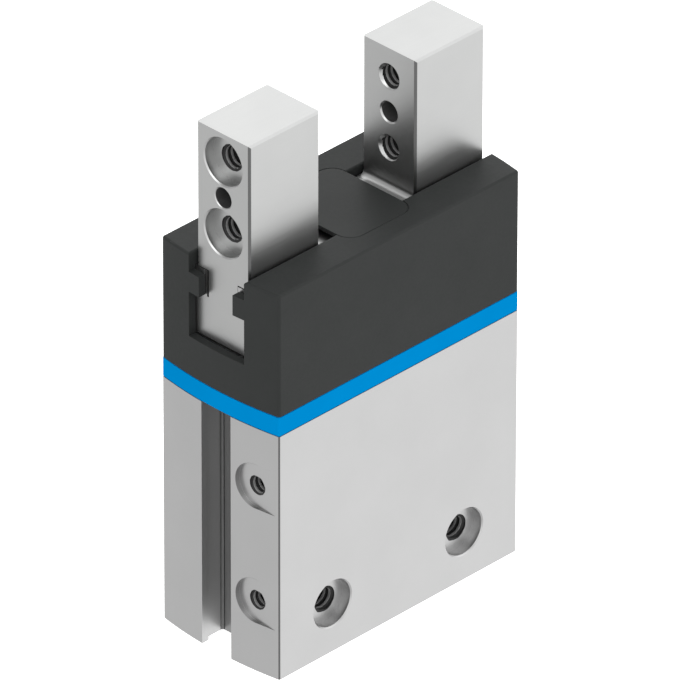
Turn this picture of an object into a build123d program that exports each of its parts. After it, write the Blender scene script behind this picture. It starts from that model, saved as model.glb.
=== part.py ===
from build123d import *
import os
from math import sqrt, asin, sin, cos, tan, pi, degrees, radians

# Parallel gripper: a double-acting cylinder in an aluminium body drives two
# jaws in a T-slot guide through a pair of bell-crank levers.
# Millimetres, +Z up. X is the jaw travel, Y the thin side of the body.
# Origin: centre of the body's bottom face. All pieces are drawn at mid stroke.

# ---------------------------------------------------------------- driving dimensions
BODY_T = 22.0          # body thickness, Y
BODY_L = 47.28         # body length over the crowned ends, X
END_R = 63.3           # radius of the crowned ends
BODY_H = 38.3          # aluminium body height
BAND_TOP = 41.4        # top of the coloured band
COVER_TOP = 60.2       # top of the dark cover
HEAD_IN = 1.30         # guide head set in from the body's outline
COVER_WALL = 1.25      # cover and band wall thickness
HEAD_TOP = 58.0        # top of the guide head

STROKE = 5.0           # travel of each jaw, shown at mid travel
SLOT_FLOOR = 47.4      # T-slot guide in the head
RAIL_BOT = 54.0
SLOT_HY = 5.0          # half width of the T-slot's wide part
RAIL_HY = 2.9          # half width between the guide rails

JAW_XI = 9.0           # jaw inner face
JAW_XO = 22.13         # jaw outer face
JAW_HY = 4.95
JAW_EDGE = 0.3         # chamfer on the finger's upright edges and its front top edge
JAW_TOP = 80.3
JAW_FOOT_X = 3.4       # inner end of the jaw's foot, under the centre plate
JAW_FOOT_HY = 4.9
JAW_FOOT_Z0 = 47.65
JAW_FOOT_Z1 = 53.9
JAW_NECK_HY = 2.7
JAW_STEP_Z = 58.1      # underside of the wide part above the rails
JAW_LEDGE_Z = 58.85    # ledge beside the finger
JAW_HOLE_Z = 70.4      # middle of the finger's hole group
JAW_HOLE_DZ = 5.5      # threads above and below the middle
M4_R = 2.0
M3_R = 1.5
SLEEVE_R = 3.5         # seat for a 7 mm centring sleeve
JAW_SEAT_DEPTH = 1.75
BODY_SEAT_DEPTH = 1.65
SEAT_RIM = 0.18        # chamfer on the rim of a seat

SIDE_HOLE_X = 12.58    # mounting holes in the wide faces
SIDE_HOLE_Z = 7.52
SIDE_HOLE_END = 3.2    # |y| where the blind hole ends
SEAM = 0.14            # height and depth of the fine groove at both seams of the band
BASE_HOLE_X = 14.0     # mounting holes in the bottom face
BASE_HOLE_DEPTH = 9.0

PORT_Y = -7.03         # air ports in the narrow face
PORT_Z = (11.04, 29.12)
PORT_FACE_X = 22.8     # plane of the recess round the port
PORT_SPOT_R = 3.45     # its half width; it runs out towards the front
PORT_DEPTH = 4.5
DUCT_R = 0.75

TSLOT_MOUTH = 2.75     # sensor slot: half width of its mouth
TSLOT_INNER = 3.4
TSLOT_LIP_X = 22.44
TSLOT_UNDER_X = 21.85
TSLOT_BACK_X = 19.05
TSLOT_R = 0.4          # radius in its inner corners

OPEN_HY = 5.17         # openings in the cover for the jaws
OPEN_RIB_HY = 3.15
OPEN_FLOOR = 47.4
OPEN_RIB_BOT = 54.3
OPEN_RIB_TOP = 57.4

PLATE_HX = 6.15        # centre plate
PLATE_HY = 7.8
PLATE_R = 2.4
PLATE_BOT = 59.6
PLATE_GAP = 0.10

BORE_R = 8.0           # cylinder
BORE_TOP = 31.0
CAP_BOT = 2.2
CAP_TOP = 10.0
ROD_R = 2.5
SEAL_TOP = 33.2
SEAL_R = 4.3
BUSH_R = 3.5
CHAMBER_BOT = 35.6     # lever chamber
CHAMBER_HX = 13.7
CHAMBER_HY = 2.9

PIVOT_X = 9.5          # bell-crank levers
PIVOT_Z = 41.0
ARM_UP = 9.0           # pivot to the jaw's lobe
ARM_IN = 6.3           # pivot to the rod's lobe
LOBE_UP_R = 1.8
LOBE_IN_R = 1.4
LEVER_HY = 2.6
HUB_R = 3.8
LEVER_BORE = 2.6
PIN_R = 2.0
PIN_RUN = 0.05         # radial running clearance on the pins

PISTON_R = 7.95
PISTON_Z0 = 13.4
PISTON_Z1 = 27.4

SWING = asin(STROKE / 2 / ARM_UP)          # lever angle at the ends of the travel
PISTON_TRAVEL = ARM_IN * sin(SWING)        # each way from mid stroke


# ---------------------------------------------------------------- helpers
def box(x0, x1, y0, y1, z0, z1):
    return Pos((x0 + x1) / 2, (y0 + y1) / 2, (z0 + z1) / 2) * Box(x1 - x0, y1 - y0, z1 - z0)


def cyl(r, z0, z1, x=0.0, y=0.0):
    return Pos(x, y, (z0 + z1) / 2) * Cylinder(r, z1 - z0)


def cyl_y(r, y0, y1, x, z):
    return Pos(x, (y0 + y1) / 2, z) * (Rot(90, 0, 0) * Cylinder(r, y1 - y0))


def cyl_x(r, x0, x1, y, z):
    return Pos((x0 + x1) / 2, y, z) * (Rot(0, 90, 0) * Cylinder(r, x1 - x0))


def ring(r0, r1, z0, z1):
    return cyl(r1, z0, z1) - cyl(r0, z0 - 1, z1 + 1)


def outline(inset):
    """Plan outline of the body: two flat sides and two crowned ends."""
    hy = BODY_T / 2 - inset
    r = END_R - inset
    xc = BODY_L / 2 - END_R
    xk = xc + sqrt(r * r - hy * hy)
    xa = xc + r
    return Face(Wire([
        ThreePointArc((xk, -hy, 0), (xa, 0, 0), (xk, hy, 0)).edge(),
        Line((xk, hy, 0), (-xk, hy, 0)).edge(),
        ThreePointArc((-xk, hy, 0), (-xa, 0, 0), (-xk, -hy, 0)).edge(),
        Line((-xk, -hy, 0), (xk, -hy, 0)).edge(),
    ]))


def prism(inset, z0, z1):
    f = outline(inset)
    if f.normal_at().Z < 0:
        f = -f
    return Pos(0, 0, z0) * extrude(f, amount=z1 - z0, dir=(0, 0, 1))


def turned(points):
    """Solid of revolution about Z from a closed list of (r, z) points."""
    corners = [(r, 0, z) for r, z in points]
    edges = [Line(a, b).edge() for a, b in zip(corners, corners[1:] + corners[:1])]
    return revolve(Face(Wire(edges)), axis=Axis.Z)


def seat_tool(r, seat_r, seat_depth, depth, rim):
    """Threaded hole with a centring seat, axis +Z out of the face at z = 0:
    a chamfered rim, a square root and the hole below."""
    return turned([
        (0, 1.0), (seat_r + rim + 1.0, 1.0), (seat_r, -rim), (seat_r, -seat_depth),
        (r, -seat_depth), (r, -depth), (0, -depth),
    ])


def face_out(x, y, z, nx, ny, nz):
    return Location(Plane(origin=(x, y, z), z_dir=(nx, ny, nz)))


def vertical(part):
    return part.edges().filter_by(Axis.Z, tolerance=1e-3)


parts = {}

# ---------------------------------------------------------------- housing
housing = prism(0, 0, BODY_H)
housing = chamfer(vertical(housing), 0.15)
housing += prism(HEAD_IN, BODY_H, HEAD_TOP)
# T-slot guide for the jaws, right through along X
housing -= box(-30, 30, -SLOT_HY, SLOT_HY, SLOT_FLOOR, RAIL_BOT)
housing -= box(-30, 30, -RAIL_HY, RAIL_HY, SLOT_FLOOR, HEAD_TOP + 1)
# lever chamber under the guide
housing -= box(-CHAMBER_HX, CHAMBER_HX, -CHAMBER_HY, CHAMBER_HY, CHAMBER_BOT, SLOT_FLOOR + 1)
# cylinder bore from below, with the rod's seal seat and bush seat above it
housing -= turned([(0, -1), (BORE_R + 1.4, -1), (BORE_R, 0.4), (BORE_R, BORE_TOP), (0, BORE_TOP)])
housing -= cyl(SEAL_R, BORE_TOP - 1, SEAL_TOP)
housing -= cyl(BUSH_R, SEAL_TOP - 1, CHAMBER_BOT + 0.5)
housing -= ring(BORE_R - 1, 8.5, 1.15, CAP_BOT)          # retaining ring groove
# lever pin holes across the head
for sx in (-1, 1):
    housing -= cyl_y(PIN_R, -12, 12, sx * PIVOT_X, PIVOT_Z)
# sensor slots in the narrow faces
for sx in (-1, 1):
    pts = [(26, -TSLOT_MOUTH), (TSLOT_LIP_X, -TSLOT_MOUTH), (TSLOT_UNDER_X, -TSLOT_INNER),
           (TSLOT_BACK_X, -TSLOT_INNER), (TSLOT_BACK_X, TSLOT_INNER), (TSLOT_UNDER_X, TSLOT_INNER),
           (TSLOT_LIP_X, TSLOT_MOUTH), (26, TSLOT_MOUTH)]
    prof = make_face(Polyline([(sx * x, y) for x, y in pts], close=True))
    slot = Pos(0, 0, -1) * extrude(prof, amount=BODY_H + 1, dir=(0, 0, 1))
    housing -= fillet([e for e in vertical(slot) if abs(abs(e.center().X) - TSLOT_BACK_X) < 1e-3], TSLOT_R)
# mounting holes in both wide faces
side_tool = seat_tool(M4_R, SLEEVE_R, BODY_SEAT_DEPTH, BODY_T / 2 - SIDE_HOLE_END, SEAT_RIM)
for sy in (-1, 1):
    for sx in (-1, 1):
        housing -= face_out(sx * SIDE_HOLE_X, sy * BODY_T / 2, SIDE_HOLE_Z, 0, sy, 0) * side_tool
# mounting holes in the bottom face
base_tool = seat_tool(M4_R, SLEEVE_R, BODY_SEAT_DEPTH, BASE_HOLE_DEPTH, SEAT_RIM)
for sx in (-1, 1):
    housing -= face_out(sx * BASE_HOLE_X, 0, 0, 0, 0, -1) * base_tool
# air ports: round-ended recess that runs out at the front corner, M3 thread
# and a duct that opens into the edge of the bore
spot_tool = turned([
    (0, 3), (PORT_SPOT_R, 3), (PORT_SPOT_R, 0), (M3_R, 0), (M3_R, -PORT_DEPTH), (DUCT_R, -PORT_DEPTH - 0.75),
    (DUCT_R, -(PORT_FACE_X - 3.0)), (0, -(PORT_FACE_X - 3.0)),
])
for z in PORT_Z:
    housing -= box(-26, -PORT_FACE_X, -12, PORT_Y, z - PORT_SPOT_R, z + PORT_SPOT_R)
    housing -= face_out(-PORT_FACE_X, PORT_Y, z, -1, 0, 0) * spot_tool
# sockets for the cover's pegs
PEGS = [(sx * 17.0, sy * 7.3) for sx in (-1, 1) for sy in (-1, 1)]
for x, y in PEGS:
    housing -= cyl(0.95, HEAD_TOP - 2.4, HEAD_TOP + 1, x, y)
parts["housing"] = housing

# ---------------------------------------------------------------- coloured band
band = prism(0, BODY_H, BAND_TOP)
band = chamfer(vertical(band), 0.15)
for z0, z1 in ((BODY_H - 1, BODY_H + SEAM), (BAND_TOP - SEAM, BAND_TOP + 1)):
    band -= prism(-1, z0, z1) - prism(SEAM, z0 - 1, z1 + 1)
band -= prism(COVER_WALL, BODY_H - 1, BAND_TOP + 1)
parts["blue_band"] = band

# ---------------------------------------------------------------- top cover
cover = prism(0, BAND_TOP, COVER_TOP)
cover = fillet(vertical(cover), 0.45)
cover -= box(-30, 30, -OPEN_HY, OPEN_HY, OPEN_RIB_TOP, COVER_TOP + 1)
tops = [f for f in cover.faces() if abs(f.center().Z - COVER_TOP) < 1e-3 and abs(f.normal_at().Z) > 0.99]
cover = fillet([e for f in tops for e in f.edges()], 0.35)
cover -= prism(COVER_WALL, BAND_TOP - 1, HEAD_TOP)
cover -= box(-30, 30, -OPEN_RIB_HY, OPEN_RIB_HY, OPEN_RIB_BOT - 0.1, OPEN_RIB_TOP + 0.1)
cover -= box(-30, 30, -OPEN_HY, OPEN_HY, OPEN_FLOOR, OPEN_RIB_BOT)
cover -= Pos(0, 0, PLATE_BOT) * extrude(
    RectangleRounded(2 * (PLATE_HX + PLATE_GAP), 2 * (PLATE_HY + PLATE_GAP), PLATE_R + PLATE_GAP), amount=3)
PLATE_PEGS = [(sx * 3.6, sy * 6.5) for sx in (-1, 1) for sy in (-1, 1)]
for x, y in PLATE_PEGS:
    cover -= cyl(0.62, HEAD_TOP - 1, PLATE_BOT + 1, x, y)
for x, y in PEGS:
    cover += cyl(0.9, HEAD_TOP - 2.0, HEAD_TOP + 0.2, x, y)
parts["top_cover"] = cover

# ---------------------------------------------------------------- centre plate
plate = extrude(RectangleRounded(2 * PLATE_HX, 2 * PLATE_HY, PLATE_R), amount=COVER_TOP - PLATE_BOT)
plate = fillet(plate.faces().sort_by(Axis.Z)[-1].edges(), 0.08)
plate = Pos(0, 0, PLATE_BOT) * plate
for x, y in PLATE_PEGS:
    plate += cyl(0.6, HEAD_TOP + 0.2, PLATE_BOT + 0.1, x, y)
parts["centre_plate"] = plate

# ---------------------------------------------------------------- jaws
finger = box(JAW_XI, JAW_XO, -JAW_HY, JAW_HY, JAW_STEP_Z, JAW_TOP)
finger = chamfer(vertical(finger), JAW_EDGE)
top_edges = finger.faces().sort_by(Axis.Z)[-1].edges().filter_by(Axis.X, tolerance=1e-3).sort_by(Axis.Y)
finger = chamfer(top_edges[0], JAW_EDGE)
top_edges = finger.faces().sort_by(Axis.Z)[-1].edges().filter_by(Axis.X, tolerance=1e-3).sort_by(Axis.Y)
finger = chamfer(top_edges[-1], 0.1)
jaw = finger + box(JAW_FOOT_X, JAW_XI + 2, -JAW_HY, JAW_HY, JAW_STEP_Z, JAW_LEDGE_Z)
jaw += box(JAW_FOOT_X, JAW_XO, -JAW_NECK_HY, JAW_NECK_HY, JAW_FOOT_Z1 - 0.5, JAW_STEP_Z + 0.3)
jaw += box(JAW_FOOT_X, JAW_XO, -JAW_FOOT_HY, JAW_FOOT_HY, JAW_FOOT_Z0, JAW_FOOT_Z1)
# concave radius between the finger's inner face and the ledge
rf = 0.95
cove = make_face(Wire([
    Line((JAW_XI + 0.1, JAW_LEDGE_Z - 0.1), (JAW_XI + 0.1, JAW_LEDGE_Z + rf)).edge(),
    Line((JAW_XI + 0.1, JAW_LEDGE_Z + rf), (JAW_XI, JAW_LEDGE_Z + rf)).edge(),
    ThreePointArc((JAW_XI, JAW_LEDGE_Z + rf),
                  (JAW_XI - rf + rf * sqrt(0.5), JAW_LEDGE_Z + rf - rf * sqrt(0.5)),
                  (JAW_XI - rf, JAW_LEDGE_Z)).edge(),
    Line((JAW_XI - rf, JAW_LEDGE_Z), (JAW_XI - rf, JAW_LEDGE_Z - 0.1)).edge(),
    Line((JAW_XI - rf, JAW_LEDGE_Z - 0.1), (JAW_XI + 0.1, JAW_LEDGE_Z - 0.1)).edge(),
]))
jaw += extrude(Plane.XZ * cove, amount=JAW_HY - JAW_EDGE, both=True)
# slot that takes the lever's lobe
jaw -= box(PIVOT_X - LOBE_UP_R - 0.1, PIVOT_X + LOBE_UP_R + 0.1, -10, 10, JAW_FOOT_Z0 - 1, PIVOT_Z + ARM_UP + LOBE_UP_R + 0.6)
# finger holes along X
jaw_tool = seat_tool(M4_R, SLEEVE_R, JAW_SEAT_DEPTH, JAW_XO - JAW_XI + 1, SEAT_RIM)
for dz in (-JAW_HOLE_DZ, JAW_HOLE_DZ):
    jaw -= face_out(JAW_XO, 0, JAW_HOLE_Z + dz, 1, 0, 0) * jaw_tool
pin_tool = turned([
    (0, 1), (M3_R + 1.12, 1), (M3_R, -0.12), (M3_R, -(JAW_XO - JAW_XI) + 0.2),
    (M3_R + 1.2, -(JAW_XO - JAW_XI) - 1), (0, -(JAW_XO - JAW_XI) - 1),
])
jaw -= face_out(JAW_XO, 0, JAW_HOLE_Z, 1, 0, 0) * pin_tool
parts["jaw_right"] = jaw
parts["jaw_left"] = mirror(jaw, about=Plane.YZ)

# ---------------------------------------------------------------- bell-crank levers
def lever(s):
    """s = -1 for the left lever, +1 for the right one."""
    px, pz = s * PIVOT_X, PIVOT_Z
    qx = s * (PIVOT_X - ARM_IN)
    flat = Pos(px, pz) * Circle(HUB_R)
    flat += Pos(px, pz + ARM_UP / 2) * Rectangle(2.5, ARM_UP)
    flat += Pos(px, pz + ARM_UP) * Circle(LOBE_UP_R)
    flat += Pos(qx, pz) * Circle(LOBE_IN_R)
    mid = s * 5.7
    flat += make_face(Polyline([(qx, pz - 0.95), (mid, pz - 0.95), (px, pz - 2.6),
                                (px, pz + 2.6), (mid, pz + 0.95), (qx, pz + 0.95)], close=True))
    flat -= Pos(px, pz) * Circle(LEVER_BORE)
    return extrude(Plane.XZ * flat, amount=LEVER_HY, both=True)


parts["lever_left"] = lever(-1)
parts["lever_right"] = lever(1)
for name, s in (("left", -1), ("right", 1)):
    parts["lever_bush_" + name] = (cyl_y(LEVER_BORE, -LEVER_HY, LEVER_HY, s * PIVOT_X, PIVOT_Z)
                                   - cyl_y(PIN_R + PIN_RUN, -10, 10, s * PIVOT_X, PIVOT_Z))
pins = []
for s in (-1, 1):
    p = cyl_y(PIN_R, -8.6, 8.6, s * PIVOT_X, PIVOT_Z)
    pins.append(chamfer(p.edges().filter_by(GeomType.CIRCLE), 0.3))
parts["lever_pins"] = Compound(children=pins)

# ---------------------------------------------------------------- piston rod with its fork head
rod = turned([(0, 13.7), (M3_R - 0.25, 13.7), (M3_R, 13.95), (M3_R, PISTON_Z1), (ROD_R, PISTON_Z1),
              (ROD_R, 38.4), (0, 38.4)])
head = box(-4.8, 4.8, -2.7, 2.7, 37.9, 44.1)
head = chamfer(head.edges().filter_by(Axis.Y, tolerance=1e-3), 0.4)
for s in (-1, 1):
    head -= box(min(s * 1.6, s * 9), max(s * 1.6, s * 9), -5, 5, PIVOT_Z - LOBE_IN_R - 0.08, PIVOT_Z + LOBE_IN_R + 0.08)
parts["piston_rod"] = rod + head

# ---------------------------------------------------------------- piston
upper = turned([
    (M3_R, 21.6), (PISTON_R, 21.6), (PISTON_R, 23.4), (6.3, 23.4), (6.3, 25.2), (PISTON_R, 25.2),
    (PISTON_R, 26.1), (PISTON_R - 0.3, 26.4), (6.5, 26.4), (6.5, 27.1), (6.2, PISTON_Z1),
    (2.36, PISTON_Z1), (2.36, 26.66), (M3_R, 26.66),
])
parts["piston_upper_disc"] = upper
lower = turned([
    (3.6, PISTON_Z0), (6.2, PISTON_Z0), (6.5, PISTON_Z0 + 0.3), (6.5, 14.4), (PISTON_R - 0.3, 14.4), (PISTON_R, 14.7),
    (PISTON_R, 15.4), (6.3, 15.4), (6.3, 17.2), (PISTON_R, 17.2), (PISTON_R, 18.2),
    (3.0, 18.2), (3.0, 21.6), (M3_R, 21.6), (M3_R, 16.4), (3.6, 16.4),
])
parts["piston_lower_disc"] = lower
parts["piston_magnet"] = ring(3.0, 6.95, 18.2, 21.6)
parts["piston_guide_ring"] = ring(6.95, PISTON_R, 18.25, 21.55)
lips = []
for z0, s in ((15.45, -1), (23.45, 1)):
    # U-cup: the open side of each faces its own chamber
    z1 = z0 + 1.7
    a, b = (z0, z1) if s > 0 else (z1, z0)
    m = a + (b - a) * 0.45
    lips.append(turned([(6.3, a), (7.75, a), (7.97, b - (b - a) * 0.12), (7.8, b), (7.3, b),
                        (7.1, m), (6.9, b), (6.3, b)]))
parts["piston_seals"] = Compound(children=lips)
parts["piston_rod_oring"] = Pos(0, 0, 27.03) * Torus(1.9, 0.36)
parts["piston_washer"] = ring(M3_R, 3.3, 15.9, 16.4)
nut = Pos(0, 0, 13.5) * extrude(RegularPolygon(radius=2.75, side_count=6, major_radius=False), amount=2.4)
nut = nut & turned([(0, 13.5), (2.75, 13.5), (3.3, 13.85), (3.3, 15.9), (0, 15.9)])
parts["piston_nut"] = nut - cyl(M3_R, 13, 16.5)

# ---------------------------------------------------------------- cylinder closure, seals, cushions
parts["rod_seal"] = turned([
    (2.55, 31.0), (2.9, 31.0), (3.3, 31.9), (3.8, 31.0), (SEAL_R, 31.0), (SEAL_R, SEAL_TOP), (2.75, SEAL_TOP), (2.75, 32.2)])
parts["rod_bush"] = turned([
    (2.55, SEAL_TOP), (BUSH_R, SEAL_TOP), (BUSH_R, CHAMBER_BOT), (2.75, CHAMBER_BOT), (2.55, CHAMBER_BOT - 0.2)])
parts["bottom_cap"] = turned([
    (0, CAP_BOT), (7.6, CAP_BOT), (7.98, CAP_BOT + 0.4), (7.98, 6.5), (6.4, 6.5), (6.4, 8.2), (7.98, 8.2),
    (7.98, 9.5), (7.5, CAP_TOP), (0, CAP_TOP)])
parts["bottom_cap_oring"] = Pos(0, 0, 7.35) * Torus(7.2, 0.78)
clip = ring(7.0, 8.45, 1.15, CAP_BOT) - box(-3.2, 3.2, -9, -2, 0, 4)
for s in (-1, 1):
    lug = Pos(s * 3.5, -6.35, 1.15) * extrude(Circle(1.15), amount=CAP_BOT - 1.15)
    clip += lug
for s in (-1, 1):
    clip -= cyl(0.55, 0, 4, s * 3.5, -6.35)
parts["retaining_ring"] = clip
parts["end_cushions"] = Compound(children=[ring(3.0, 5.5, CAP_TOP, 11.5), ring(3.2, 5.5, 29.35, BORE_TOP)])

# ---------------------------------------------------------------- write one file per piece
os.makedirs("parts", exist_ok=True)
for name, shape in parts.items():
    export_step(shape, "parts/" + name + ".step")
    print(name, round(shape.volume, 2))
print("lever swing %.4f deg each way, piston travel %.4f mm each way" % (degrees(SWING), PISTON_TRAVEL))
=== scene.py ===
from math import sin, cos, tan, pi, radians, sqrt, atan2, hypot

import bmesh
import bpy
from mathutils import Matrix, Vector


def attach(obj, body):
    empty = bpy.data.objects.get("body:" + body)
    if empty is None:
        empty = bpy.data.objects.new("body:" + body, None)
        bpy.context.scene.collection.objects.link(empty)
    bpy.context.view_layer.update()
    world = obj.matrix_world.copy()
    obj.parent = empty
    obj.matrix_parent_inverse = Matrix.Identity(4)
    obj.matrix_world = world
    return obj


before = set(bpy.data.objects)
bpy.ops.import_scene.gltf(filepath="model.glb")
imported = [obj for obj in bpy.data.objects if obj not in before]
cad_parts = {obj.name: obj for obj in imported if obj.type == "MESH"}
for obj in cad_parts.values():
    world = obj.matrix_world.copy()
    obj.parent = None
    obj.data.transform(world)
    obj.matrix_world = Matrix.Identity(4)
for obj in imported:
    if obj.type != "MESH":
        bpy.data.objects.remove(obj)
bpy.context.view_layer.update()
scene = bpy.context.scene
MM = 0.001

# ------------------------------------------------------------------ camera
# Solved from the photograph: long lens, 45 degrees round and 32 degrees above.
AZ, EL, ROLL = radians(45.3253), radians(31.7868), radians(0.0944)
FOCAL, DIST = 15070.37, 2035.19
TX, TY = 0.0614, -32.9208
forward = Vector((sin(AZ) * cos(EL), cos(AZ) * cos(EL), -sin(EL)))
right = Vector((cos(AZ), -sin(AZ), 0.0))
up = right.cross(forward)
cam_right = right * cos(ROLL) + up * sin(ROLL)
cam_up = up * cos(ROLL) - right * sin(ROLL)
place = (-DIST * forward - TX * cam_right - TY * cam_up) * MM
camera_data = bpy.data.cameras.new("camera")
camera_data.sensor_fit = "HORIZONTAL"
camera_data.sensor_width = 36.0
camera_data.lens = FOCAL * 36.0 / 680.0
camera_data.clip_start = 0.05
camera_data.clip_end = 100.0
camera = bpy.data.objects.new("camera", camera_data)
scene.collection.objects.link(camera)
camera.matrix_world = Matrix((
    (cam_right.x, cam_up.x, -forward.x, place.x),
    (cam_right.y, cam_up.y, -forward.y, place.y),
    (cam_right.z, cam_up.z, -forward.z, place.z),
    (0, 0, 0, 1),
))
scene.camera = camera
scene.view_settings.view_transform = "Standard"
scene.view_settings.look = "None"
scene.view_settings.exposure = 0.0
scene.view_settings.gamma = 1.0


# ------------------------------------------------------------------ materials
class Nodes:
    """A small helper for building one material's node tree."""

    def __init__(self, name):
        self.material = bpy.data.materials.new(name)
        self.material.use_nodes = True
        self.tree = self.material.node_tree
        self.bsdf = next(n for n in self.tree.nodes if n.type == "BSDF_PRINCIPLED")
        self.coord = self.tree.nodes.new("ShaderNodeTexCoord")

    def add(self, kind, **values):
        node = self.tree.nodes.new(kind)
        for key, value in values.items():
            if key in node.inputs:
                node.inputs[key].default_value = value
            else:
                setattr(node, key, value)
        return node

    def link(self, a, b):
        self.tree.links.new(a, b)

    def stretched(self, scale):
        mapping = self.add("ShaderNodeMapping")
        mapping.inputs["Scale"].default_value = scale
        self.link(self.coord.outputs["Object"], mapping.inputs["Vector"])
        return mapping.outputs["Vector"]

    def noise(self, scale, detail=3.0, rough=0.55, vector=None):
        node = self.add("ShaderNodeTexNoise")
        node.inputs["Scale"].default_value = scale
        node.inputs["Detail"].default_value = detail
        node.inputs["Roughness"].default_value = rough
        self.link(vector or self.coord.outputs["Object"], node.inputs["Vector"])
        return node.outputs["Fac"]

    def between(self, fac, low, high, a=0.3, b=0.7):
        node = self.add("ShaderNodeMapRange")
        node.inputs["From Min"].default_value = a
        node.inputs["From Max"].default_value = b
        node.inputs["To Min"].default_value = low
        node.inputs["To Max"].default_value = high
        self.link(fac, node.inputs["Value"])
        return node.outputs["Result"]

    def colours(self, fac, low, high, a=0.3, b=0.7):
        ramp = self.add("ShaderNodeValToRGB")
        ramp.color_ramp.elements[0].position = a
        ramp.color_ramp.elements[0].color = (*low, 1)
        ramp.color_ramp.elements[1].position = b
        ramp.color_ramp.elements[1].color = (*high, 1)
        self.link(fac, ramp.inputs["Fac"])
        return ramp.outputs["Color"]

    def math(self, operation, *values):
        node = self.add("ShaderNodeMath", operation=operation)
        for socket, value in zip(node.inputs, values):
            if isinstance(value, (int, float)):
                socket.default_value = value
            else:
                self.link(value, socket)
        return node.outputs["Value"]

    def sizes(self):
        """Distance from the middle planes, height, and the signed x and y."""
        split = self.add("ShaderNodeSeparateXYZ")
        self.link(self.coord.outputs["Object"], split.inputs["Vector"])
        return (self.math("ABSOLUTE", split.outputs["X"]), self.math("ABSOLUTE", split.outputs["Y"]),
                split.outputs["Z"], split.outputs["X"], split.outputs["Y"])

    def with_painted_shading(self, colour, factor):
        # painted light and shade: scales the base colour lighter or darker by the given factor
        shade = self.add("ShaderNodeVectorMath", operation="SCALE")
        self.link(colour, shade.inputs[0])
        self.link(factor, shade.inputs["Scale"])
        self.link(shade.outputs["Vector"], self.bsdf.inputs["Base Color"])

    def bump(self, heights, strength=1.0):
        """heights: list of (socket, distance in metres), added one on another."""
        last = None
        for socket, distance in heights:
            node = self.add("ShaderNodeBump")
            node.inputs["Strength"].default_value = strength
            node.inputs["Distance"].default_value = distance
            self.link(socket, node.inputs["Height"])
            if last is not None:
                self.link(last, node.inputs["Normal"])
            last = node.outputs["Normal"]
        self.link(last, self.bsdf.inputs["Normal"])

    def set(self, **values):
        for key, value in values.items():
            self.bsdf.inputs[key.replace("_", " ")].default_value = value


def grey(v):
    return (v, v, v)


# painted light and shade: how much darker or lighter than the open faces the colour is made, standing in for the
# shade and light these places show
EDGE_PAINTED_SHADE, WALL_PAINTED_LIGHT, BACK_PAINTED_SHADE, ROOT_PAINTED_SHADE, PORT_PAINTED_SHADE = -0.68, 0.16, -0.36, -0.62, -0.30


def anodised(name, low, high, rough):
    """Anodised aluminium of the body, with painted shade (a darker colour) on the upright corner chamfers, and in the
    extruded sensor slots painted light on the side walls and lips and painted shade on the rear face and its inner
    corners; painted shade also on the round walls of the two recesses for the ports.
    """
    m = Nodes(name)
    x, y, z, along, across = m.sizes()
    # sensor slots: painted light on the side walls and lips, painted shade on the rear face and along its inner
    # corners
    side = m.math("MULTIPLY", m.math("COMPARE", y, 0.0034, 0.00006), m.math("COMPARE", x, 0.0210, 0.00152))
    lip = m.math("MULTIPLY", m.math("COMPARE", y, 0.00275, 0.00004), m.math("COMPARE", x, 0.0230, 0.0007))
    slot_wall_painted_light = m.math("MULTIPLY_ADD", lip, 0.8, side)
    slot_back_painted_shade = m.math("MULTIPLY", m.math("COMPARE", x, 0.01905, 0.00004), m.math("LESS_THAN", y, 0.0031))
    slot_root_painted_shade = m.math("MULTIPLY", m.math("COMPARE", x, 0.01927, 0.00024), m.math("COMPARE", y, 0.0032, 0.00022))
    # painted shade on the upright corner chamfers: a darker colour in place of the dark reflection they show
    edge_painted_shade = m.math("GREATER_THAN", m.math("ADD", x, y), 0.033525)
    # painted shade on the round walls of the two recesses for the ports
    port_y = m.math("ADD", across, 0.00703)
    port_z = m.math("SUBTRACT", m.math("ABSOLUTE", m.math("SUBTRACT", z, 0.02008)), 0.00904)
    port_r = m.math("SQRT", m.math("ADD", m.math("MULTIPLY", port_y, port_y), m.math("MULTIPLY", port_z, port_z)))
    port_painted_shade = m.math("MULTIPLY", m.math("COMPARE", port_r, 0.00345, 0.00004), m.math("LESS_THAN", along, -0.02283))
    # painted light and shade: the colour is scaled lighter on the slot walls and darker on the chamfers, the slot's
    # rear face and inner corners, and the recess walls
    painted_light_and_shade = m.math("MULTIPLY_ADD", edge_painted_shade, EDGE_PAINTED_SHADE, m.math("MULTIPLY_ADD", slot_wall_painted_light, WALL_PAINTED_LIGHT, m.math(
        "MULTIPLY_ADD", slot_back_painted_shade, BACK_PAINTED_SHADE, m.math("MULTIPLY_ADD", slot_root_painted_shade, ROOT_PAINTED_SHADE, m.math(
            "MULTIPLY_ADD", port_painted_shade, PORT_PAINTED_SHADE, 1.0)))))
    m.with_painted_shading(m.colours(m.noise(90.0, 2.0), low, high), painted_light_and_shade)
    finish = m.between(m.noise(1400.0, 3.0), rough - 0.025, rough + 0.03)
    m.link(m.math("MULTIPLY_ADD", slot_root_painted_shade, 0.30, m.math("MULTIPLY_ADD", slot_wall_painted_light, 0.12, finish)), m.bsdf.inputs["Roughness"])
    m.link(m.math("MULTIPLY_ADD", slot_root_painted_shade, -0.30, m.math("MULTIPLY_ADD", slot_wall_painted_light, -0.10, 1.0)), m.bsdf.inputs["Metallic"])
    m.bump([(m.noise(9000.0, 2.0), 2.0e-6), (m.noise(240.0, 2.0), 6.0e-6)])
    return m.material


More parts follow.
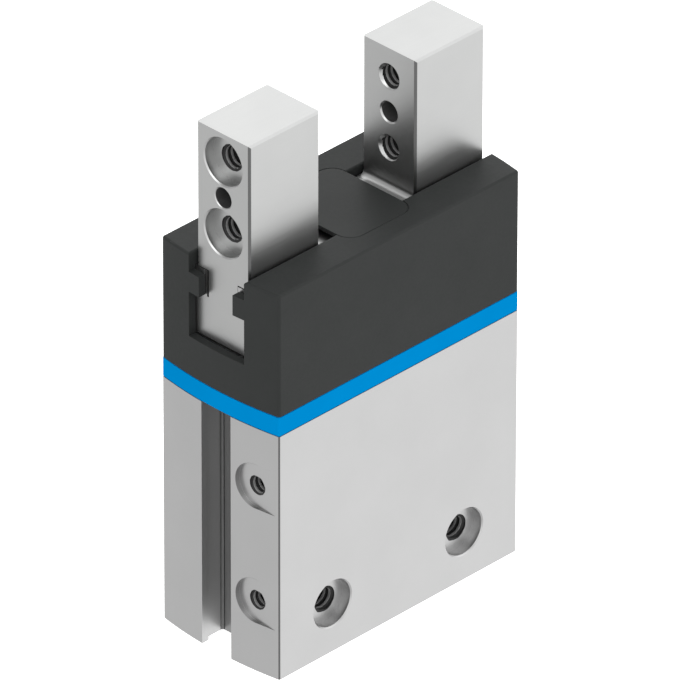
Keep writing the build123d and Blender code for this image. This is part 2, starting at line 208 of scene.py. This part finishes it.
def ground(name, low, high, rough, along=(1, 1, 1), jaw=False):
    """Ground steel: faint streaks along one way; on a jaw the upright chamfers get painted shade, a darker colour in
    place of the dark reflection they show.
    """
    m = Nodes(name)
    m.set(Metallic=1.0)
    streak = m.noise(2600.0, 3.0, 0.6, m.stretched(along))
    colour = m.colours(m.noise(120.0, 2.0), low, high)
    if jaw:
        x, y, z = m.sizes()[:3]
        # painted shade on the jaw's outer and inner upright chamfers, above the cover
        outer = m.math("GREATER_THAN", m.math("ADD", x, y), 0.026775)
        inner = m.math("MULTIPLY", m.math("GREATER_THAN", m.math("SUBTRACT", y, x), -0.004355),
                       m.math("GREATER_THAN", x, 0.00899))
        edge_painted_shade = m.math("MULTIPLY", m.math("MAXIMUM", outer, inner), m.math("GREATER_THAN", z, 0.0581))
        m.with_painted_shading(colour, m.math("MULTIPLY_ADD", edge_painted_shade, EDGE_PAINTED_SHADE, 1.0))
    else:
        m.link(colour, m.bsdf.inputs["Base Color"])
    m.link(m.between(streak, rough - 0.02, rough + 0.03), m.bsdf.inputs["Roughness"])
    m.bump([(streak, 0.8e-6), (m.noise(300.0, 2.0), 2.0e-6)])
    return m.material


def moulded(name, low, high, rough, level, grain=3.0e-6):
    """Moulded plastic: a fine spark-eroded texture and slow waviness."""
    m = Nodes(name)
    m.set(Metallic=0.0, Specular_IOR_Level=level)
    m.link(m.colours(m.noise(150.0, 3.0), low, high), m.bsdf.inputs["Base Color"])
    m.link(m.between(m.noise(2200.0, 2.0), rough - 0.03, rough + 0.04), m.bsdf.inputs["Roughness"])
    m.bump([(m.noise(6500.0, 2.0), grain), (m.noise(160.0, 2.0), 8.0e-6)])
    return m.material


def turned_metal(name, low, high, rough, pitch=0.12):
    """Turned metal: fine rings round the Z axis."""
    m = Nodes(name)
    m.set(Metallic=1.0)
    flat = m.stretched((1, 1, 0))
    rings = m.add("ShaderNodeTexWave", wave_type="RINGS", rings_direction="SPHERICAL")
    rings.inputs["Scale"].default_value = 1000.0 / pitch / 6.2832 * 1.0
    rings.inputs["Distortion"].default_value = 0.4
    m.link(flat, rings.inputs["Vector"])
    m.link(m.colours(m.noise(300.0, 2.0), low, high), m.bsdf.inputs["Base Color"])
    m.link(m.between(rings.outputs["Fac"], rough - 0.04, rough + 0.05, 0.0, 1.0), m.bsdf.inputs["Roughness"])
    m.bump([(rings.outputs["Fac"], 2.0e-6), (m.noise(3000.0, 2.0), 1.0e-6)])
    return m.material


def plain(name, low, high, rough, metallic, level=0.5, scale=1500.0, depth=3.0e-6):
    m = Nodes(name)
    m.set(Metallic=metallic, Specular_IOR_Level=level)
    n = m.noise(scale, 3.0)
    m.link(m.colours(n, low, high), m.bsdf.inputs["Base Color"])
    m.link(m.between(n, rough - 0.04, rough + 0.05), m.bsdf.inputs["Roughness"])
    m.bump([(n, depth)])
    return m.material


ALU = anodised("anodised_aluminium", grey(0.393), grey(0.408), 0.30)
# thread crests and grooves: copies of the aluminium with painted light and shade, the crest a dull grey non-metal and
# the groove nearly black as painted shade
ALU_CREST_PAINTED_LIGHT_AND_SHADE = plain("anodised_thread_crest_painted_light_and_shade", grey(0.19), grey(0.23), 0.45, 0.0, 0.5)
ALU_GROOVE_PAINTED_SHADE = plain("anodised_thread_groove_painted_shade", grey(0.016), grey(0.022), 0.6, 0.0, 0.2)
STEEL_JAW = ground("ground_steel", (0.393, 0.396, 0.394), (0.410, 0.413, 0.410), 0.32, (0.06, 1.0, 1.0), jaw=True)
# the same painted light and shade copies for the steel threads of the jaws
STEEL_CREST_PAINTED_LIGHT_AND_SHADE = plain("steel_thread_crest_painted_light_and_shade", grey(0.21), grey(0.25), 0.45, 0.0, 0.5)
STEEL_GROOVE_PAINTED_SHADE = plain("steel_thread_groove_painted_shade", grey(0.016), grey(0.022), 0.6, 0.0, 0.2)
# painted shade: a dark non-metal colour for the lining of the jaws' plain bore
BORE_PAINTED_SHADE = plain("reamed_bore_painted_shade", grey(0.040), grey(0.050), 0.5, 0.0, 0.2)
COVER = moulded("dark_cover", (0.0213, 0.0229, 0.0224), (0.0238, 0.0253, 0.0249), 0.50, 0.09)
PLATE = moulded("dark_plate", (0.0205, 0.022, 0.0215), (0.022, 0.0235, 0.023), 0.42, 0.09, 2.0e-6)
BLUE = moulded("blue_band", (0.0, 0.175, 0.433), (0.0, 0.184, 0.451), 0.45, 0.0, 2.0e-6)
HARD = ground("hard_steel", grey(0.30), grey(0.34), 0.25)
SPRING = plain("spring_steel", grey(0.05), grey(0.075), 0.42, 1.0)
BRONZE = plain("bearing_bronze", (0.36, 0.22, 0.09), (0.44, 0.28, 0.12), 0.42, 1.0)
TURNED = turned_metal("turned_aluminium", grey(0.44), grey(0.48), 0.30)
FERRITE = plain("ferrite", grey(0.03), grey(0.045), 0.6, 0.3)
GUIDE = plain("guide_plastic", (0.42, 0.36, 0.24), (0.48, 0.41, 0.28), 0.5, 0.0, 0.4)
RUBBER = plain("seal_rubber", grey(0.010), grey(0.016), 0.6, 0.0, 0.35)

LOOK = {
    "housing": ALU, "blue_band": BLUE, "top_cover": COVER, "centre_plate": PLATE,
    "jaw_left": STEEL_JAW, "jaw_right": STEEL_JAW,
    "lever_left": HARD, "lever_right": HARD, "lever_pins": HARD, "piston_rod": HARD, "piston_washer": HARD,
    "piston_nut": HARD, "lever_bush_left": BRONZE, "lever_bush_right": BRONZE, "rod_bush": BRONZE,
    "piston_upper_disc": TURNED, "piston_lower_disc": TURNED, "bottom_cap": TURNED, "piston_magnet": FERRITE,
    "piston_guide_ring": GUIDE, "piston_seals": RUBBER, "piston_rod_oring": RUBBER, "rod_seal": RUBBER,
    "end_cushions": RUBBER, "bottom_cap_oring": RUBBER, "retaining_ring": SPRING,
}
for name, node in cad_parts.items():
    look = LOOK[name]
    if not node.material_slots:
        node.data.materials.append(look)
    for slot in node.material_slots:
        slot.material = look


# ------------------------------------------------------------------ screw threads
def placed(name, work, origin, out):
    """A mesh from work, millimetres, with its local +Z along out."""
    z_axis = Vector(out).normalized()
    x_axis = Vector((0, 0, 1)) if abs(z_axis.z) < 0.5 else Vector((1, 0, 0))
    y_axis = z_axis.cross(x_axis)
    turn = Matrix((x_axis, y_axis, z_axis)).transposed().to_4x4()
    work.transform(Matrix.Translation(Vector(origin) * MM) @ turn @ Matrix.Scale(MM, 4))
    mesh = bpy.data.meshes.new(name)
    work.to_mesh(mesh)
    work.free()
    for polygon in mesh.polygons:
        polygon.use_smooth = False
    return mesh


def thread(name, major, minor, pitch, length, origin, out, lead, cone=None, phase=0.0, columns=64):
    """The ridge of an internal thread as a closed sleeve inside a plain hole.
    Its local +Z points out of the mouth, which is at z = 0; sizes in millimetres.
    lead = radius of the chamfered mouth; cone = the same at the far end, if open;
    phase = how far the ridge is shifted along the hole.
    Faces get material 0 (far chamfer and ends), 1 (crests, which get a painted light and shade copy of the metal) or
    2 (flanks and roots, which get painted shade)."""
    profile = ((0.03, major - 0.03), (0.12, major - 0.05), (0.2, 0.5 * (major + minor) + 0.06),
               (0.28, minor + 0.03), (0.34, minor), (0.5, minor - 0.01), (0.66, minor), (0.72, minor + 0.03),
               (0.8, 0.5 * (major + minor) + 0.06), (0.88, major - 0.05), (0.97, major - 0.03))
    per = len(profile)
    turns = int(length / pitch) + 4
    work = bmesh.new()
    rows = []

    def cut(z):
        """Radius of the chamfers at height z."""
        near = lead + 3 * z
        far = cone - (z + length) if cone is not None else 0.0
        return min(max(near, far), major - 0.03)

    def add(corners):
        face = work.faces.new(corners)
        z = sum(v.co.z for v in corners) / 4
        r = sum(hypot(v.co.x, v.co.y) for v in corners) / 4
        if cone is not None and r <= cone - (z + length) + 0.012:
            face.material_index = 0
        else:
            face.material_index = 1 if r < minor + 0.035 else 2

    for k in range(turns):
        for f, r in profile:
            row = []
            for j in range(columns):
                angle = 2 * pi * j / columns
                z = (k + f + j / columns - turns + 2) * pitch + phase
                rr = max(r, cut(z))
                row.append(work.verts.new((rr * cos(angle), rr * sin(angle), z)))
            rows.append(row)
    total = len(rows)
    for i in range(total - 1):
        for j in range(columns):
            if j < columns - 1:
                a, b, c, d = rows[i][j], rows[i][j + 1], rows[i + 1][j + 1], rows[i + 1][j]
            elif i + 1 + per < total:
                a, b, c, d = rows[i][j], rows[i + per][0], rows[i + 1 + per][0], rows[i + 1][j]
            else:
                continue
            add((a, d, c, b))
    for level, keep_below in ((0.0, True), (-length, False)):
        bmesh.ops.bisect_plane(
            work, geom=work.verts[:] + work.edges[:] + work.faces[:], dist=1e-6, plane_co=(0, 0, level),
            plane_no=(0, 0, 1), clear_outer=keep_below, clear_inner=not keep_below)
    outer = major - 0.004
    rings = {}
    for level in (0.0, -length):
        inner = [v for v in work.verts if abs(v.co.z - level) < 1e-5 and any(e.is_boundary for e in v.link_edges)]
        inner.sort(key=lambda v: atan2(v.co.y, v.co.x))
        ring = [work.verts.new((outer * cos(t), outer * sin(t), level))
                for t in (-pi + 2 * pi * (j + 0.5) / columns for j in range(columns))]
        rings[level] = ring
        angle_of = lambda v: atan2(v.co.y, v.co.x)
        i = j = 0
        while i < len(inner) or j < len(ring):
            a, b = inner[i % len(inner)], ring[j % len(ring)]
            next_a = angle_of(inner[(i + 1) % len(inner)]) + (2 * pi if i + 1 >= len(inner) else 0)
            next_b = angle_of(ring[(j + 1) % len(ring)]) + (2 * pi if j + 1 >= len(ring) else 0)
            if j >= len(ring) or (i < len(inner) and next_a <= next_b):
                face = (a, b, inner[(i + 1) % len(inner)])
                i += 1
            else:
                face = (a, b, ring[(j + 1) % len(ring)])
                j += 1
            if len({v.index if v.index >= 0 else id(v) for v in face}) == 3:
                work.faces.new(face)
    top, low = rings[0.0], rings[-length]
    for j in range(columns):
        work.faces.new((top[j], top[(j + 1) % columns], low[(j + 1) % columns], low[j]))
    bmesh.ops.recalc_face_normals(work, faces=work.faces[:])
    return placed(name, work, origin, out)


def sleeve(name, outer, inner, length, origin, out, index, columns=48):
    """A thin closed tube that lines a plain hole, from z = 0 down, in steps along its length; it carries a dark
    colour as painted shade inside the hole.
    """
    work = bmesh.new()
    steps = 12
    loops = [(outer, -length * k / steps) for k in range(steps + 1)]
    loops += [(inner, -length + length * k / steps) for k in range(steps + 1)]
    rings = [[work.verts.new((r * cos(2 * pi * j / columns), r * sin(2 * pi * j / columns), z))
              for j in range(columns)] for r, z in loops]
    for i in range(len(rings)):
        a, b = rings[i], rings[(i + 1) % len(rings)]
        for j in range(columns):
            work.faces.new((a[j], a[(j + 1) % columns], b[(j + 1) % columns], b[j])).material_index = index
    bmesh.ops.recalc_face_normals(work, faces=work.faces[:])
    return placed(name, work, origin, out)


def joined(name, meshes, body, materials):
    """One piece made of several meshes."""
    work = bmesh.new()
    for mesh in meshes:
        work.from_mesh(mesh)
        bpy.data.meshes.remove(mesh)
    whole = bpy.data.meshes.new(name)
    work.to_mesh(whole)
    work.free()
    for material in materials:
        whole.materials.append(material)
    piece = bpy.data.objects.new(name, whole)
    scene.collection.objects.link(piece)
    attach(piece, body)
    return piece


M4, M4_CORE, M4_PITCH = 2.0, 1.56, 0.95
M3, M3_CORE, M3_PITCH = 1.5, 1.16, 0.9
body_threads = []
for sy in (-1, 1):
    for sx in (-1, 1):
        body_threads.append(thread("t", M4, M4_CORE, M4_PITCH, 6.0, (sx * 12.58, sy * 9.35, 7.52), (0, sy, 0), 1.99, phase=0.1))
for sx in (-1, 1):
    body_threads.append(thread("t", M4, M4_CORE, M4_PITCH, 7.2, (sx * 14.0, 0, 1.65), (0, 0, -1), 1.99))
for z in (11.04, 29.12):
    body_threads.append(thread("t", M3, M3_CORE, M3_PITCH, 4.3, (-22.8, -7.03, z), (-1, 0, 0), 1.49, phase=-0.38))
joined("body_threads", body_threads, "housing_body", (ALU, ALU_CREST_PAINTED_LIGHT_AND_SHADE, ALU_GROOVE_PAINTED_SHADE))
for side, s in (("left", -1), ("right", 1)):
    made = [thread("t", M4, M4_CORE, M4_PITCH, 11.37, (s * 20.38, 0, z), (s, 0, 0), 1.99, cone=1.96,
                   phase=-0.36 if s < 0 else 0.03)
            for z in (64.9, 75.9)]
    # the plain middle bore gets a dark lining: painted shade in place of the shade inside the bore
    made.append(sleeve("t", 1.497, 1.465, 12.75, (s * 21.98, 0, 70.4), (s, 0, 0), 3))
    joined("jaw_%s_threads" % side, made, "%s_jaw" % side, (STEEL_JAW, STEEL_CREST_PAINTED_LIGHT_AND_SHADE, STEEL_GROOVE_PAINTED_SHADE, BORE_PAINTED_SHADE))

# ------------------------------------------------------------------ floor, world and lights
floor_mesh = bpy.data.meshes.new("floor")
size = 4.0
floor_mesh.from_pydata([(-size, -size, -2e-5), (size, -size, -2e-5), (size, size, -2e-5), (-size, size, -2e-5)], [], [(0, 1, 2, 3)])
floor = bpy.data.objects.new("floor", floor_mesh)
scene.collection.objects.link(floor)


def dot(tree, source, vector):
    node = tree.nodes.new("ShaderNodeVectorMath")
    node.operation = "DOT_PRODUCT"
    node.inputs[1].default_value = vector
    tree.links.new(source, node.inputs[0])
    return node.outputs["Value"]


def ease(tree, source, a, b, low, high):
    node = tree.nodes.new("ShaderNodeMapRange")
    node.interpolation_type = "SMOOTHSTEP"
    for key, value in (("From Min", a), ("From Max", b), ("To Min", low), ("To Max", high)):
        node.inputs[key].default_value = value
    tree.links.new(source, node.inputs["Value"])
    return node.outputs["Result"]


def plus(tree, a, b):
    node = tree.nodes.new("ShaderNodeMath")
    node.operation = "ADD"
    tree.links.new(a, node.inputs[0])
    tree.links.new(b, node.inputs[1])
    return node.outputs["Value"]


# a pale table that glows a little, so the object throws no shadow on it; it is
# seen by the camera only, and the light from below comes from the studio itself
pale = Nodes("pale_floor")
pale.set(Specular_IOR_Level=0.0, Emission_Color=(1, 1, 1, 1), Emission_Strength=0.7)
pale.link(pale.colours(pale.noise(3.0, 2.0), grey(0.80), grey(0.82)), pale.bsdf.inputs["Base Color"])
pale.link(pale.between(pale.noise(40.0, 2.0), 0.85, 0.95), pale.bsdf.inputs["Roughness"])
floor_mesh.materials.append(pale.material)

floor.visible_diffuse = False
floor.visible_glossy = False
floor.visible_shadow = False

world = bpy.data.worlds.new("studio")
scene.world = world
world.use_nodes = True
tree = world.node_tree
background = next(n for n in tree.nodes if n.type == "BACKGROUND")
where = tree.nodes.new("ShaderNodeTexCoord")
sky = where.outputs["Generated"]
# a soft light tent all round: brighter and darker patches, each a direction,
# the cosine where it starts to show, and what it adds to the even light
EVEN = 0.98
TENT = (((0.604, 0.598, 0.527), 0.35, 0.95), ((0.604, -0.526, 0.597), 0.72, 0.80),
        ((-0.71, -0.05, 0.68), 0.84, 1.7), ((-0.527, 0.598, 0.604), 0.55, -0.40),
        ((0.604, -0.598, -0.527), 0.40, 0.60), ((-0.604, 0.598, -0.527), 0.50, 0.07),
        ((-0.80, -0.50, 0.33), 0.40, 0.62))
level = None
for vector, start, amount in TENT:
    low = EVEN if level is None else 0.0
    patch = ease(tree, dot(tree, sky, Vector(vector).normalized()), start, 0.99, low, low + amount)
    level = patch if level is None else plus(tree, level, patch)
tree.links.new(level, background.inputs["Strength"])
background.inputs["Color"].default_value = (1, 1, 1, 1)
